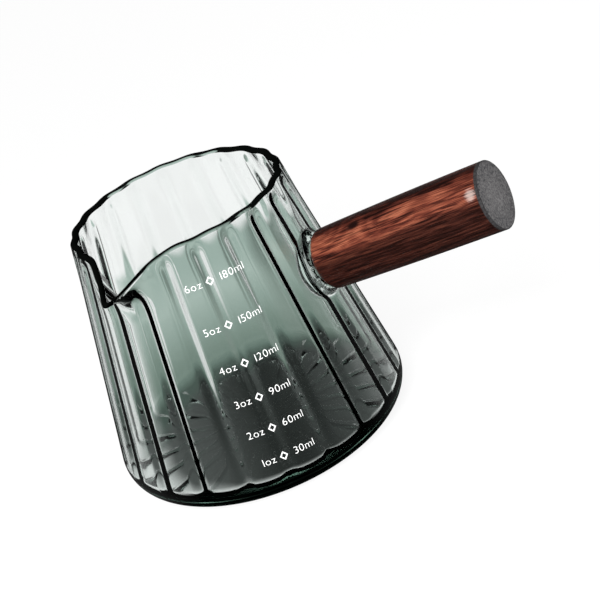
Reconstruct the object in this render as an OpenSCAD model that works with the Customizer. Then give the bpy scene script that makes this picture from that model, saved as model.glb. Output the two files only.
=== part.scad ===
// Fluted smoked-glass measuring cup with a pour spout and a screw-on wooden side handle.
// Millimetres. The origin is the middle of the base, on the table. +Z is up, the handle
// points along +X and the spout lies 7 degrees past -Y.

/* [Glass cup] */
// Widest diameter of the glass, just above the table
base_d = 78; // [70:0.5:88]
// Diameter over the rim
rim_d = 56; // [50:0.5:64]
// Height from the table to the rim
cup_h = 70; // [64:0.5:90]
// Radius of the outer round between the base and the wall
foot_round = 7; // [4:0.25:10]
// Radius of the inner round between the floor and the wall
floor_round = 2.5; // [1.5:0.25:5]
// Thickness of the wall at the rim, between two ribs
rim_wall = 1.8; // [1.4:0.1:2.6]
// Thickness of the wall at the floor, between two ribs
foot_wall = 2.2; // [1.8:0.1:3.4]
// Thickness of the floor
floor_t = 4.7; // [3:0.1:8]

/* [Flutes] */
// Number of flutes, and of ribs between them, round the inside of the wall
flutes = 20; // [12:1:24]
// Angle from the handle to the first rib
flute_turn = -3.2; // [-9:0.1:9]
// Height of a rib
rib_h = 0.7; // [0.2:0.05:0.9]
// Share of the pitch that a rib takes up at its foot
rib_share = 0.5; // [0.2:0.02:0.7]
// How round the crest of a rib is, 0 for a sharp one
rib_round = 0.4; // [0.05:0.05:0.6]
// Height below the rim over which the ribs run in
rib_fade = 4; // [2:0.5:8]
// Share of a rib's height that is left at the edge of the floor
floor_ribs = 0.3; // [0.1:0.05:1]
// Depth of the scallops that the flutes press into the edge of the floor
scallop = 0.7; // [0.2:0.1:1.2]
// Share of that depth that is left on the wall
wall_scallop = 0.15; // [0:0.05:0.4]
// How far the rim waves in and out with the flutes
rim_wave = 0.55; // [0:0.05:1.4]
// Height of the wall below the rim over which that wave dies away
rim_wave_h = 11; // [6:0.5:12]

/* [Spout] */
// Angle from the handle to the middle of the spout
spout_turn = -97; // [-105:1:-88]
// How far the lip of the spout stands out past the rim
spout_reach = 11.2; // [6:0.2:13]
// How far the lip of the spout lies below the rim
spout_drop = 6; // [0:0.25:7]
// Height of the wall that is drawn out into the spout
spout_h = 16; // [10:0.5:22]
// Angle from the middle of the spout to where it joins the round rim
spout_spread = 44; // [30:1:50]
// How hollow the sides of the spout are, 1 for straight sides
spout_hollow = 5; // [2:0.25:6]
// How wide the dip of the rim is against the spout, 1 for the same width
spout_dip = 0.7; // [0.5:0.05:1]
// Angle over which the tip of the lip is rounded
spout_tip = 3.8; // [2:0.2:6]

/* [Handle] */
// Height above the table at which the handle's axis meets the wall
handle_z = 46.5; // [44:0.5:50]
// Angle of the handle above the horizontal
handle_tilt = 12; // [8:0.5:18]
// Length of the glass boss between the wall and the handle
boss_len = 2.2; // [1.6:0.1:6]
// Diameter of the flat shoulder on the boss
boss_d = 14.8; // [13:0.1:15.6]
// Width of the straight lip below that shoulder
boss_lip = 0.5; // [0.3:0.1:1]
// Radius of the hollow round between the lip and the wall
boss_round = 2; // [1:0.25:3]
// Length of the wooden handle, without its end cap
handle_len = 48.25; // [40:0.25:90]
// Diameter of the handle at the glass
handle_d = 15.6; // [14.4:0.1:18]
// Diameter of the handle at its free end
handle_end_d = 17.2; // [15:0.1:22]
// How far the handle's sides swell past a straight taper
handle_swell = 0.15; // [0:0.05:0.6]
// Radius of the rounded edge at the glass
handle_round = 1.4; // [0.4:0.1:1.6]
// Gap between the wood and the glass shoulder
handle_gap = 0.2; // [0.1:0.05:0.6]

/* [Handle end cap] */
// Thickness of the dark disc on the end of the handle
cap_t = 0.8; // [0.6:0.1:3]
// Bevel round the outer edge of the disc
cap_bevel = 0.25; // [0.1:0.05:0.5]
// Diameter of the peg that holds the disc
peg_d = 6; // [4:0.25:8]
// Length of the peg
peg_len = 5; // [3:0.25:8]

/* [Screw joint] */
// Mean diameter of the round thread on the glass stub
thread_d = 7.2; // [6.4:0.1:7.4]
// Height of the thread from its mean line to its crest
thread_wave = 0.5; // [0.3:0.05:0.55]
// Lead of the thread for one turn
thread_pitch = 4; // [3:0.25:5]
// Turns of thread that the bush holds
thread_turns = 3; // [2:0.25:4]
// Gap between the two threads, measured outwards
thread_gap = 0.3; // [0.25:0.05:0.35]
// Length of the tapered tip of the stub
stub_tip = 1.2; // [0.6:0.1:2]
// Thickness of the sealing washer
washer_t = 1.8; // [1:0.1:3]
// Outer diameter of the threaded bush and of the washer
bush_d = 10.8; // [10.4:0.1:11]
// Gap all round a piece that is set into the wood
glue_gap = 0.05; // [0.02:0.01:0.1]

/* [Measuring scale] */
// Distance of the top mark below the rim
top_mark_drop = 11; // [8:0.5:20]
// Angle from the handle to the column of marks
mark_turn = -57; // [-65:1:-45]
// Height of a diamond mark
diamond_h = 2.3; // [1.5:0.1:3.5]
// Width of a diamond mark
diamond_w = 2.1; // [1.5:0.1:3.5]
// Width of the printed line
line_w = 0.3; // [0.2:0.05:0.5]
// Thickness of the enamel print
print_t = 0.12; // [0.08:0.02:0.2]

/* [Hidden] */
MARKS = 6;
$fn = 96;

GLASS = [0.46, 0.53, 0.5];
ROSEWOOD = [0.47, 0.24, 0.18];
DARK_DISC = [0.4, 0.4, 0.41];
NYLON = [0.9, 0.89, 0.85];
SILICONE = [0.75, 0.76, 0.76];
ENAMEL = [0.97, 0.97, 0.96];

// Gap that keeps fused and printed glass faces from crossing
weld_gap = 0.02;
// How far a cutting shape runs past the face that it cuts
cut_over = 1;
// Room past the end of the stub and of the peg
hole_room = 0.5;

function smooth(t) = let (s = min(max(t, 0), 1)) s * s * (3 - 2 * s);
function mix(a, b, t) = a + (b - a) * t;
// Angle of the normal to the line that touches a circle on its outer side and ends at a point
function touch_angle(cx, cz, r, px, pz) =
    atan2(pz - cz, px - cx) - acos(r / norm([px - cx, pz - cz]));

// The outer wall is a cone from the foot's round up to the rim
base_r = base_d / 2;
rim_r = rim_d / 2;
rim_round = rim_wall / 2;
rim_z = cup_h - rim_round;
foot_x = base_r - foot_round;
wall_a = touch_angle(foot_x, foot_round, foot_round, rim_r, rim_z);
function wall_r(z) = rim_r + (rim_z - z) * tan(wall_a);

// The inner wall is a cone from the floor's round up to the rim
floor_x = base_r - foot_wall - floor_round;
floor_cz = floor_t + floor_round;
inner_rim_r = rim_r - rim_wall;
inner_a = touch_angle(floor_x, floor_cz, floor_round, inner_rim_r, rim_z);
function inner_r(z) = inner_rim_r + (rim_z - z) * tan(inner_a);

// Columns of points round the cup: on the crest, the flanks and the feet of every rib, and between
RIB_COLUMNS = 2;
FLUTE_COLUMNS = 2;
column_shares = concat(
    [for (i = [-RIB_COLUMNS : RIB_COLUMNS]) rib_share / 2 * i / RIB_COLUMNS],
    [for (i = [1 : 2 * FLUTE_COLUMNS - 1]) mix(rib_share / 2, 1 - rib_share / 2, i / (2 * FLUTE_COLUMNS))]
);
flute_columns = len(column_shares);
columns = flutes * flute_columns;
function column_angle(j) =
    flute_turn + (floor(j / flute_columns) + column_shares[j % flute_columns]) * 360 / flutes;
// Distance from the nearest rib, as a share of half the pitch
function from_rib(a) = let (u = (a - flute_turn) * flutes / 360) 1 - abs(2 * (u - floor(u)) - 1);
// 1 on a rib and 0 past its foot: two hollow parabolas that meet in a rounded crest
function rib(a) = let (
    foot = norm([1, rib_round]),
    here = norm([min(1, from_rib(a) / rib_share), rib_round])
) pow((foot - here) / (foot - rib_round), 2);
// What stands on the inside, for a share of the ribs and a share of the scallops
function stand(a, ribs, scallops) = ribs * rib_h * rib(a) + scallops * scallop * pow(1 - from_rib(a), 2);
function wave(a) = cos((a - flute_turn) * flutes) * rim_wave / 2;
function wave_share(z) = smooth((z - rim_z + rim_wave_h) / rim_wave_h);

// The spout's pull: 1 at its tip, 0 where it joins the round rim, less further down the wall
function spout_side(a) = let (
    off = (a - spout_turn + 540) % 360 - 180,
    far = norm([off, spout_tip]) - spout_tip
) pow(max(0, 1 - far / spout_spread), spout_hollow);
function spout_level(z) = pow(min(1, max(0, 1 - (rim_z - z) / spout_h)), 2);

// One station of the glass outline: its radius and height, the shares of the rim's wave, of the
// ribs and of the scallops there, and the direction in which these stand out
FOOT_STEPS = 6;
LOWER_STEPS = 3;
UPPER_STEPS = 6;
RIM_STEPS = 4;
FLOOR_STEPS = 3;
FLOOR_EYE = 0.25;
spout_z = cup_h - spout_h;
foot_top = foot_round * (1 + sin(wall_a));
floor_top = floor_cz + floor_round * sin(inner_a);
function wall_heights(low) = concat(
    [for (i = [1 : LOWER_STEPS]) mix(low, spout_z, i / LOWER_STEPS)],
    [for (i = [1 : UPPER_STEPS]) mix(spout_z, rim_z, i / UPPER_STEPS)]
);
outer_stations = concat(
    [for (i = [0 : FOOT_STEPS]) let (a = mix(-90, wall_a, i / FOOT_STEPS))
        [foot_x + foot_round * cos(a), foot_round + foot_round * sin(a), 0, 0, 0, 0, 0]],
    [for (z = wall_heights(foot_top)) [wall_r(z), z, wave_share(z), 0, 0, 0, 0]]
);
rim_stations = [for (i = [1 : RIM_STEPS]) let (a = 180 * i / RIM_STEPS)
    [rim_r - rim_round + rim_round * cos(a), rim_z + rim_round * sin(a), 1, 0, 0, 0, 0]];
inner_heights = wall_heights(floor_top);
inner_stations = concat(
    [for (i = [len(inner_heights) - 2 : -1 : 0])
        let (z = inner_heights[i], fade = smooth((rim_z - z) / rib_fade))
        [inner_r(z), z, wave_share(z), fade, fade * wall_scallop, -cos(inner_a), -sin(inner_a)]],
    [for (i = [0 : FOOT_STEPS]) let (t = i / FOOT_STEPS, a = mix(inner_a, -90, t))
        [floor_x + floor_round * cos(a), floor_cz + floor_round * sin(a), 0,
            mix(1, floor_ribs, smooth(t)), mix(wall_scallop, 1, smooth(t)), -cos(a), -sin(a)]],
    [for (i = [1 : FLOOR_STEPS]) let (t = mix(1, FLOOR_EYE, i / FLOOR_STEPS))
        [floor_x * t, floor_t, 0, floor_ribs * t * t, t * t, 0, 1]]
);
stations = concat(outer_stations, rim_stations, inner_stations);
function glass_point(s, a) = let (
    out = stand(a, s[3], s[4]),
    side = spout_side(a),
    level = spout_level(s[1]),
    r = s[0] + s[2] * wave(a) + s[5] * out + level * side * spout_reach
) [r * cos(a), r * sin(a), s[1] + s[6] * out - level * pow(side, spout_dip) * spout_drop];

module glass_body() {
    last = len(stations) - 1;
    points = concat(
        [for (s = stations, j = [0 : columns - 1]) glass_point(s, column_angle(j))],
        [[0, 0, 0], [0, 0, floor_t]]
    );
    under = len(points) - 2;
    over = under + 1;
    function at(i, j) = i * columns + j % columns;
    faces = concat(
        [for (i = [0 : last - 1], j = [0 : columns - 1], f = [
            [at(i, j), at(i + 1, j), at(i + 1, j + 1)],
            [at(i, j), at(i + 1, j + 1), at(i, j + 1)]
        ]) f],
        [for (j = [0 : columns - 1]) [under, at(0, j), at(0, j + 1)]],
        [for (j = [0 : columns - 1]) [over, at(last, j + 1), at(last, j)]]
    );
    color(GLASS) polyhedron(points, faces, convexity = 6);
}

// The handle's own frame: +Z along its axis, from the wall or from the boss's shoulder
module on_wall() {
    translate([wall_r(handle_z), 0, handle_z]) rotate([0, 90 - handle_tilt, 0]) children();
}
module on_shoulder() {
    on_wall() translate([0, 0, boss_len]) children();
}

// The round thread is a wave in radius that climbs one pitch a turn
THREAD_SIDES = 24;
THREAD_RINGS_PER_TURN = 8;
bush_len = thread_turns * thread_pitch;
stub_len = washer_t + bush_len + stub_tip;
ring_step = thread_pitch / THREAD_RINGS_PER_TURN;
crest_r = thread_d / 2 + thread_wave;
function thread_r(a, z) = thread_d / 2 + thread_wave * cos(360 * z / thread_pitch - a);
// The thread runs in over the neck inside the washer and tapers over its tip
function stub_r(a, z) = mix(thread_d / 2, thread_r(a, z), smooth(z / washer_t))
    - 2 * thread_wave * pow(max(0, (z - stub_len + stub_tip) / stub_tip), 2);

// Faces between rings of points that run round a closed strip, as seen from outside
function strip_faces(rings, sides, closed) = [
    for (i = [0 : rings - (closed ? 1 : 2)], j = [0 : sides - 1])
        let (a = i * sides, b = (i + 1) % rings * sides, k = (j + 1) % sides)
        for (f = [[a + j, b + j, b + k], [a + j, b + k, a + k]]) f
];

module threaded_stub() {
    rings = round(stub_len / ring_step);
    heights = [for (i = [0 : rings]) stub_len * i / rings];
    last = (len(heights) - 1) * THREAD_SIDES;
    polyhedron(
        [for (z = heights, j = [0 : THREAD_SIDES - 1]) let (a = j * 360 / THREAD_SIDES)
            [stub_r(a, z) * cos(a), stub_r(a, z) * sin(a), z]],
        concat(
            strip_faces(len(heights), THREAD_SIDES, false),
            [[for (j = [0 : THREAD_SIDES - 1]) j]],
            [[for (j = [THREAD_SIDES - 1 : -1 : 0]) last + j]]
        )
    );
}

module handle_boss() {
    boss_r = boss_d / 2;
    flare_end = 45;
    flare_step = 7.5;
    flare_x = boss_r + boss_round * (1 - cos(flare_end));
    flare_z = boss_len - boss_lip - boss_round * sin(flare_end);
    sink = boss_len + boss_round;
    color(GLASS) {
        difference() {
            on_wall() rotate_extrude() polygon(concat(
                [[0, boss_len], [0, -sink], [flare_x + flare_z + sink, -sink]],
                [for (a = [flare_end : -flare_step : 0])
                    [boss_r + boss_round * (1 - cos(a)), boss_len - boss_lip - boss_round * sin(a)]],
                [[boss_r, boss_len]]
            ));
            cylinder(h = cup_h, r1 = wall_r(0) + weld_gap, r2 = wall_r(cup_h) + weld_gap);
        }
        on_shoulder() threaded_stub();
    }
}

module seal_washer() {
    color(SILICONE) on_shoulder() difference() {
        cylinder(h = washer_t, d = bush_d);
        translate([0, 0, -cut_over])
            cylinder(h = washer_t + 2 * cut_over, r = crest_r + thread_gap);
    }
}

module thread_bush() {
    rings = round(bush_len / ring_step);
    heights = [for (i = [0 : rings]) bush_len * i / rings];
    outline = concat(
        [for (i = [len(heights) - 1 : -1 : 0]) [true, heights[i]]],
        [[false, 0], [false, bush_len]]
    );
    color(NYLON) on_shoulder() translate([0, 0, washer_t]) polyhedron(
        [for (p = outline, j = [0 : THREAD_SIDES - 1]) let (
            a = j * 360 / THREAD_SIDES,
            r = p[0] ? thread_r(a, p[1] + washer_t) + thread_gap : bush_d / 2
        ) [r * cos(a), r * sin(a), p[1]]],
        strip_faces(len(outline), THREAD_SIDES, true)
    );
}

module wooden_handle() {
    handle_r = handle_d / 2;
    handle_end_r = handle_end_d / 2;
    side_steps = 12;
    round_step = 15;
    low = handle_gap;
    high = handle_gap + handle_len;
    seat = washer_t + bush_len;
    color(ROSEWOOD) on_shoulder() difference() {
        rotate_extrude() polygon(concat(
            [[0, high], [0, low]],
            [for (a = [-90 : round_step : -round_step])
                [handle_r - handle_round + handle_round * cos(a), low + handle_round * (1 + sin(a))]],
            [for (i = [0 : side_steps]) let (t = i / side_steps)
                [mix(handle_r, handle_end_r, t) + handle_swell * 4 * t * (1 - t),
                    mix(low + handle_round, high, t)]]
        ));
        translate([0, 0, -cut_over]) cylinder(h = seat + cut_over, d = bush_d + 2 * glue_gap);
        translate([0, 0, -cut_over])
            cylinder(h = stub_len + hole_room + cut_over, r = crest_r + thread_gap);
        translate([0, 0, high - peg_len - hole_room])
            cylinder(h = peg_len + hole_room + cut_over, d = peg_d + 2 * glue_gap);
    }
}

module end_cap() {
    cap_r = handle_end_d / 2;
    color(DARK_DISC) on_shoulder() translate([0, 0, handle_gap + handle_len])
        rotate_extrude() polygon([
            [0, -peg_len], [peg_d / 2, -peg_len], [peg_d / 2, 0], [cap_r, 0],
            [cap_r, cap_t - cap_bevel], [cap_r - cap_bevel, cap_t], [0, cap_t]
        ]);
}

// The volume held up to each height, in slices, with the ribs taken off
SLICES = 80;
RIB_SAMPLES = 24;
top_mark_z = cup_h - top_mark_drop;
slice_h = (top_mark_z - floor_t) / SLICES;
rib_profile = [for (i = [0 : RIB_SAMPLES - 1])
    stand(flute_turn + 360 / flutes * (i + 0.5) / RIB_SAMPLES, 1, wall_scallop)];
function sum(v) = v * [for (x = v) 1];
function hollow_r(z) = z < floor_top
    ? floor_x + sqrt(max(0, pow(floor_round, 2) - pow(z - floor_cz, 2)))
    : inner_r(z);
function hollow_area(z) = let (r = hollow_r(z)) PI * sum([for (h = rib_profile) pow(r - h, 2)]) / RIB_SAMPLES;
fill_table = [for (i = 0, v = 0; i <= SLICES; v = v + slice_h * hollow_area(floor_t + (i + 0.5) * slice_h),
    i = i + 1) [v, floor_t + i * slice_h]];
full_volume = fill_table[SLICES][0];

// Each mark stands where the cup holds its share of the volume below the top mark
module scale_mark(k) {
    z = lookup(full_volume * k / MARKS, fill_table);
    band = diamond_h;
    inner = 1 - line_w * norm([diamond_w, diamond_h]) / (diamond_w * diamond_h / 2);
    corners = [[diamond_h / 2, 0], [0, diamond_w / 2], [-diamond_h / 2, 0], [0, -diamond_w / 2]];
    color(ENAMEL) intersection() {
        translate([0, 0, z - band]) difference() {
            cylinder(h = 2 * band, r1 = wall_r(z - band) + weld_gap + print_t,
                r2 = wall_r(z + band) + weld_gap + print_t);
            cylinder(h = 2 * band, r1 = wall_r(z - band) + weld_gap, r2 = wall_r(z + band) + weld_gap);
        }
        rotate([0, 0, mark_turn]) translate([0, 0, z]) rotate([0, 90, 0]) linear_extrude(height = base_d)
            difference() {
                polygon(corners);
                polygon(corners * inner);
            }
    }
}

glass_body();
handle_boss();
seal_washer();
thread_bush();
wooden_handle();
end_cap();
for (k = [1 : MARKS]) {
    scale_mark(k);
}
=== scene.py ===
"""Fluted smoked-glass measuring cup with a pour spout and a screw-on rosewood handle.

Shapes are worked out in millimetres, in the part's own frame, and scaled to metres when they
become meshes. The glass, the handle and its end disc are surfaces of two parameters.
"""

import bpy
import numpy as np
from mathutils import Matrix, Vector


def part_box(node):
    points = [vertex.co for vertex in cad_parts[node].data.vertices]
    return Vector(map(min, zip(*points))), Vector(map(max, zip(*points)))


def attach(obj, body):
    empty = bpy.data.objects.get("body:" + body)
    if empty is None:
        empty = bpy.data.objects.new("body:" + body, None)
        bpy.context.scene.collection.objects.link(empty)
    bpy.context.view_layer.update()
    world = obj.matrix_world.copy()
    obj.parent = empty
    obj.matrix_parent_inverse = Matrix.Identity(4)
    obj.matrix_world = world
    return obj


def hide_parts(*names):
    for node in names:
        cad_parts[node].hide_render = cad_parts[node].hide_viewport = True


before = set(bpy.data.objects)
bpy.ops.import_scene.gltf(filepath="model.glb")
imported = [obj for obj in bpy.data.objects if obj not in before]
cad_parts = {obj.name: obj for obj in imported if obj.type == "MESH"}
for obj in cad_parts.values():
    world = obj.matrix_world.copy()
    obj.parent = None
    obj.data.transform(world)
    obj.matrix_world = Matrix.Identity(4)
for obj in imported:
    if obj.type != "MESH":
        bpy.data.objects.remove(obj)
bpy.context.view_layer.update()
MM = 0.001
SHARP_ANGLE = 40.0

# Sizes of the glass, in millimetres; the height and the width come from the frame
GLASS_HIGH = np.array(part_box("glass_body")[1]) / MM
CUP_H = GLASS_HIGH[2]
BASE_R = GLASS_HIGH[1]
RIM_R = 28.0
FOOT_ROUND = 7.0
FLOOR_ROUND = 2.5
RIM_WALL = 1.8
FOOT_WALL = 2.2
FLOOR_T = 4.7
FLUTES = 20
FLUTE_TURN = -3.2
RIB_H = 0.7
RIB_HALF = 0.5
RIB_ROUND = 0.4
FLOOR_RIBS = 0.3
RIB_FADE = 4.0
SCALLOP = 0.7
WALL_SCALLOP = 0.15
RIM_WAVE = 0.55
RIM_WAVE_H = 11.0
SPOUT_ANGLE = -97.0
SPOUT_REACH = 11.2
SPOUT_DROP = 6.0
SPOUT_H = 16.0
SPOUT_SPREAD = 44.0
SPOUT_HOLLOW = 5.0
SPOUT_DIP = 0.7
SPOUT_TIP = 3.8

# Rows and columns of the glass: steps along its outline in millimetres, and round it in degrees
BASE_INNER_R = 4.0
BASE_MARGIN = 0.5
BASE_ROWS = 6
FOOT_ROWS = 17
WALL_STEP = 3.0
BOSS_ZONE = 9.8
BOSS_STEP = 0.45
RIM_STEP = 0.75
BEAD_ROWS = 15
FADE_ROWS = 9
SPOUT_ROWS = 13
INNER_ROWS = 12
FLOOR_ROUND_ROWS = 18
FLOOR_ROWS = 19
FLOOR_MIDDLE = 0.06
RIB_COLUMNS = 17
FLUTE_COLUMNS = 7
CLOSE_STEP = 0.5
BOSS_SIDE = 23.0
TIP_SIDE = 12.0
COLUMN_GAP = 0.12

# Sizes of the handle and its screw joint
HANDLE_Z = 46.5
HANDLE_TILT = 12.0
BOSS_LEN = 2.2
BOSS_R = 7.4
BOSS_EDGE = 0.3
BOSS_HOLLOW = 2.0
BOSS_FLARE = 1.8
HANDLE_GAP = 0.2
HANDLE_LEN = 48.25
HANDLE_R = 7.8
HANDLE_END_R = 8.6
HANDLE_SWELL = 0.15
HANDLE_ROUND = 1.4
CAP_T = 0.8
CAP_ROUND = 0.25
PEG_R = 3.0
PEG_LEN = 5.0
THREAD_R = 3.6
THREAD_WAVE = 0.5
THREAD_PITCH = 4.0
BUSH_LEN = 12.0
WASHER_T = 1.8
STUB_TIP = 1.2
STUB_LEN = WASHER_T + BUSH_LEN + STUB_TIP
STUB_START = 0.02
STUB_SIDES = 72
STUB_RINGS = 150
STUB_SPARE = 0.5
STUB_BORE_R = 4.4
BUSH_BORE_R = 5.45
PEG_PLAY = 0.05
CORE_R = 1.0
AXIS_R = 0.01
LATHE_SIDES = 128
MOUTH_ROWS = 14
SIDE_ROWS = 60
CAP_ROWS = 8

# The printed scale
MARKS = 6
MARK_ML = 30
MARK_TURN = -57.0
WORD_SIZE = 2.75
WORD_MIDDLE = 0.341
WORD_THIN = 0.03
LETTER_GAP = 0.4
LETTER_STRETCH = 1.02
OUNCE_END = -2.2
ML_START = 2.8
PRINT_LIFT = 0.08

# The figure of the wood, with a painted highlight and painted shade, in the handle's own frame:
# places and reaches in millimetres, and for each kind of grain how fine it is across the handle and along
# it
PITH = (-19.0, -9.0)
RING_PITCH = 1.1
RING_DRIFT = 6.0
RING_RIPPLE = 1.2
RING_SWIRL = 3.0
RING_LEAN = 0.05
KNOT = (-7.22, -3.52, 13.95)
KNOT_REACH = 4.2
KNOT_STRETCH = 0.6
KNOT_CORE = (0.6, 1.6)
CRACK_ANGLE = 242.0
CRACK_WIDTH = (0.06, 0.2)
CRACK_END = (5.0, 9.0)
CRACK_WANDER = 0.5
# A painted highlight near the end of the handle: a pale patch in the wood's colour
PAINTED_HIGHLIGHT = (-4.92, -7.02, 46.95)
PAINTED_HIGHLIGHT_R = (0.6, 1.9)
PAINTED_HIGHLIGHT_FRAY = 3.0
PAINTED_HIGHLIGHT_SHARE = 0.55
DRIFT_GRAIN = (0.07, 0.03)
RIPPLE_GRAIN = (0.25, 0.16)
BROAD_GRAIN = (0.42, 0.014)
BROAD_PLACE = 3.0
FIBRE_GRAIN = (4.8, 0.2)
STREAK_GRAIN = (1.2, 0.07)
STREAK_RISE = (0.5, 0.66)
PORE_GRAIN = (2.8, 0.12)
PORE_RISE = (0.54, 0.62)
PORE_SHARE = 0.55
# Painted shade in the wood's colour: darker on the lower side of the handle and along its top edge
SHADED_SIDE = (0.82, -0.57)
SHADED_RISE = (-3.0, 6.0)
LOWER_SHADE_RISE = (0.2, 3.0)
LOWER_SHADE_SHARE = 0.72
TOP_SHADE_RISE = (2.0, 7.0)
LAYER_DEPTH = 0.16
BROAD_DEPTH = 0.9
FIBRE_DEPTH = 1.3
STREAK_DEPTH = 0.35
SHADED_DEPTH = 0.3
TOP_SHADE_DEPTH = 0.45
DEPTH_START = 0.92
DEPTH_SPAN = 0.95
FIBRE_RELIEF = 0.6
LAYER_RELIEF = 0.2
PORE_RELIEF = 0.5
WOOD_BUMP = 0.5
WOOD_RELIEF = 0.15
WOOD_ROUGH = 0.3
FIBRE_ROUGH = 0.3

# The specks of the end disc, and the painted shade round its rim
SPECK_GRAIN = 2.2
SPECK_CONTRAST = 2.4
SPECK_LEVEL = 0.4
FLECK_GRAIN = 4.5
FLECK_RISE = (0.6, 0.7)
FLECK_SHARE = 0.5
DISC_MIDDLE_R = 1.0
DISC_MIDDLE = 0.25
# Painted shade round the rim of the end disc
DISC_EDGE_SHADE = (0.45, 0.1)
DISC_EDGE_SHADE_SHARE = 0.8
DISC_BUMP = 0.4
DISC_RELIEF = 0.1
DISC_ROUGH = 0.55
SPECK_ROUGH = 0.3

# The cloud and the fine grain of the moulded pieces and the print
CLOUD_RISE = (0.3, 0.7)
FINE_GRAIN = 8
FINE_ROUGH = 0.15
FINE_BUMP = 0.15
FINE_RELIEF = 0.05

# The camera of the photograph: a 600 by 600 frame, the focal length and the base's centre in its pixels
FRAME_PX = 600
FOCAL_PX = 1875.8
BASE_PX = (270.0, 426.5)
BASE_DEPTH = 498.6
CAMERA_YAW = 29.8
CAMERA_PITCH = 25.45
CAMERA_ROLL = -21.84
SENSOR_MM = 36.0
CLIP_START = 0.01

# The glass: its smoke, and the painted shade that blackens it towards its edges and where light is turned
# back in it
GLASS_IOR = 1.5
SMOKE_TONE = (0.6, 0.75, 0.69, 1)
SMOKE_DENSITY = 55.0
PAINTED_EDGE_TONE = (0.002, 0.0024, 0.0022, 1)
EDGE_FACING = (0.86, 0.92)
BEAD_EDGE = 0.76
FLANK_MIRROR = (0.15, 0.4)
FLOOR_FLANK = 0.2

# The stage: the floor's drop below the base, its shade as seen through the glass, and the room's light
FLOOR_DROP = 0.05
FLOOR_HALF = 3000.0
FLOOR_PALE = (0.85, 0.85, 0.85, 1)
FLOOR_LIGHT = 1.06
FLOOR_SHADOW = 0.15
VIEW_ANGLE = 122.4
SHADE_AHEAD = (0.0, 10.0)
SHADE_END = (128.0, 140.0)
SHADE_LEFT = (26.0, 42.0)
SHADE_RIGHT = (62.0, 80.0)
SHADE_TURN = (8.0, 26.0)
SHADE_REACH = 200.0
UNDER_R = (29.0, 38.0)
UNDER_MIDDLE = (3.0, 2.0)
UNDER_BAND = -4.0
UNDER_FADE = (0.0, 30.0)
UNDER_TONE = (0.014, 0.0155, 0.015, 1)
UNDER_EDGE = (0.1, 0.106, 0.104, 1)
FRONT = (-40.0, -15.0)
BESIDE = (24.0, 36.0)
FRONT_SKY = (-0.05, 0.1)
FAR_R = (32.0, 42.0)
SHADE_STOPS = [
    (0.19, (0.084, 0.117, 0.101, 1)),
    (0.23, (0.168, 0.234, 0.201, 1)),
    (0.3, (0.244, 0.324, 0.280, 1)),
    (0.38, (0.353, 0.450, 0.403, 1)),
    (0.48, (0.487, 0.594, 0.542, 1)),
    (0.58, (0.420, 0.531, 0.481, 1)),
]
RIGHT_STOPS = [
    (0.19, (0.088, 0.117, 0.102, 1)),
    (0.23, (0.18, 0.235, 0.203, 1)),
    (0.3, (0.262, 0.33, 0.292, 1)),
    (0.38, (0.285, 0.36, 0.32, 1)),
    (0.46, (0.28, 0.355, 0.315, 1)),
    (0.58, (0.205, 0.265, 0.235, 1)),
]
AROUND = (0.95, 0.96, 0.955, 1)
BACKDROP_STOPS = [
    (0.0, (1, 1, 1, 1)),
    (0.03, (0.9, 0.9, 0.9, 1)),
    (0.12, (0.015, 0.015, 0.015, 1)),
]
FAR_DEPTH = (2.2, 2.8)
REFLECTED = 0.96
MIRRORED = 0.08
FAR_TONE = (0.1, 0.11, 0.105, 1)
FAR_WHITE = (0.95, 0.97, 0.96, 1)
FRONT_TONE = (0.01, 0.01, 0.01, 1)
AMBIENT = 0.45
BLACK = (0, 0, 0, 1)
WHITE = (1, 1, 1, 1)
LAMP_PLACE = (136, -519, 450)
LAMP_AIM = (40, 0, 40)
LAMP_SIZE = 300
LAMP_POWER = 6.0


def cos(degrees):
    """Cosine of an angle in degrees."""
    return np.cos(np.radians(degrees))


def sin(degrees):
    """Sine of an angle in degrees."""
    return np.sin(np.radians(degrees))


def smooth(t):
    """0 below 0, 1 above 1 and an S-curve between."""
    t = np.clip(t, 0, 1)
    return t * t * (3 - 2 * t)


def touch_angle(cx, cz, r, px, pz):
    """Angle of the normal to the line that touches a circle's outer side and ends at a point."""
    dx, dz = px - cx, pz - cz
    return np.degrees(np.arctan2(dz, dx) - np.arccos(r / np.hypot(dx, dz)))


def grid_quads(rows, columns, wrap_rows=False):
    """Corner numbers of the quads between neighbouring points of a grid whose rows are rings."""
    i = np.arange(rows if wrap_rows else rows - 1)[:, None]
    j = np.arange(columns)[None, :]
    i2, j2 = (i + 1) % rows, (j + 1) % columns
    corners = [a * columns + b for a, b in ((i, j), (i, j2), (i2, j2), (i2, j))]
    return np.stack(corners, -1).reshape(-1, 4)


def pole_fan(pole, first, columns, flip):
    """Triangles from one pole point to the ring of points that starts at number first."""
    j = np.arange(columns)
    ring, after = first + j, first + (j + 1) % columns
    pair = (after, ring) if flip else (ring, after)
    return np.stack([np.full(columns, pole), *pair], -1)


def add_piece(name, points, faces, material, body, shares=None):
    """A mesh object from points in millimetres, riding on a body; smooth but for its sharp edges.
    The shares are numbers that its material reads, one for each point."""
    mesh = bpy.data.meshes.new(name)
    mesh.from_pydata((np.reshape(points, (-1, 3)) * MM).tolist(), [], faces)
    mesh.polygons.foreach_set("use_smooth", np.ones(len(mesh.polygons), bool))
    mesh.materials.append(material)
    for key, values in (shares or {}).items():
        mesh.attributes.new(key, "FLOAT", "POINT").data.foreach_set("value", values)
    mesh.update()
    mesh.set_sharp_from_angle(angle=np.radians(SHARP_ANGLE))
    piece = bpy.data.objects.new(name, mesh)
    bpy.context.scene.collection.objects.link(piece)
    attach(piece, body)
    return piece


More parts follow.
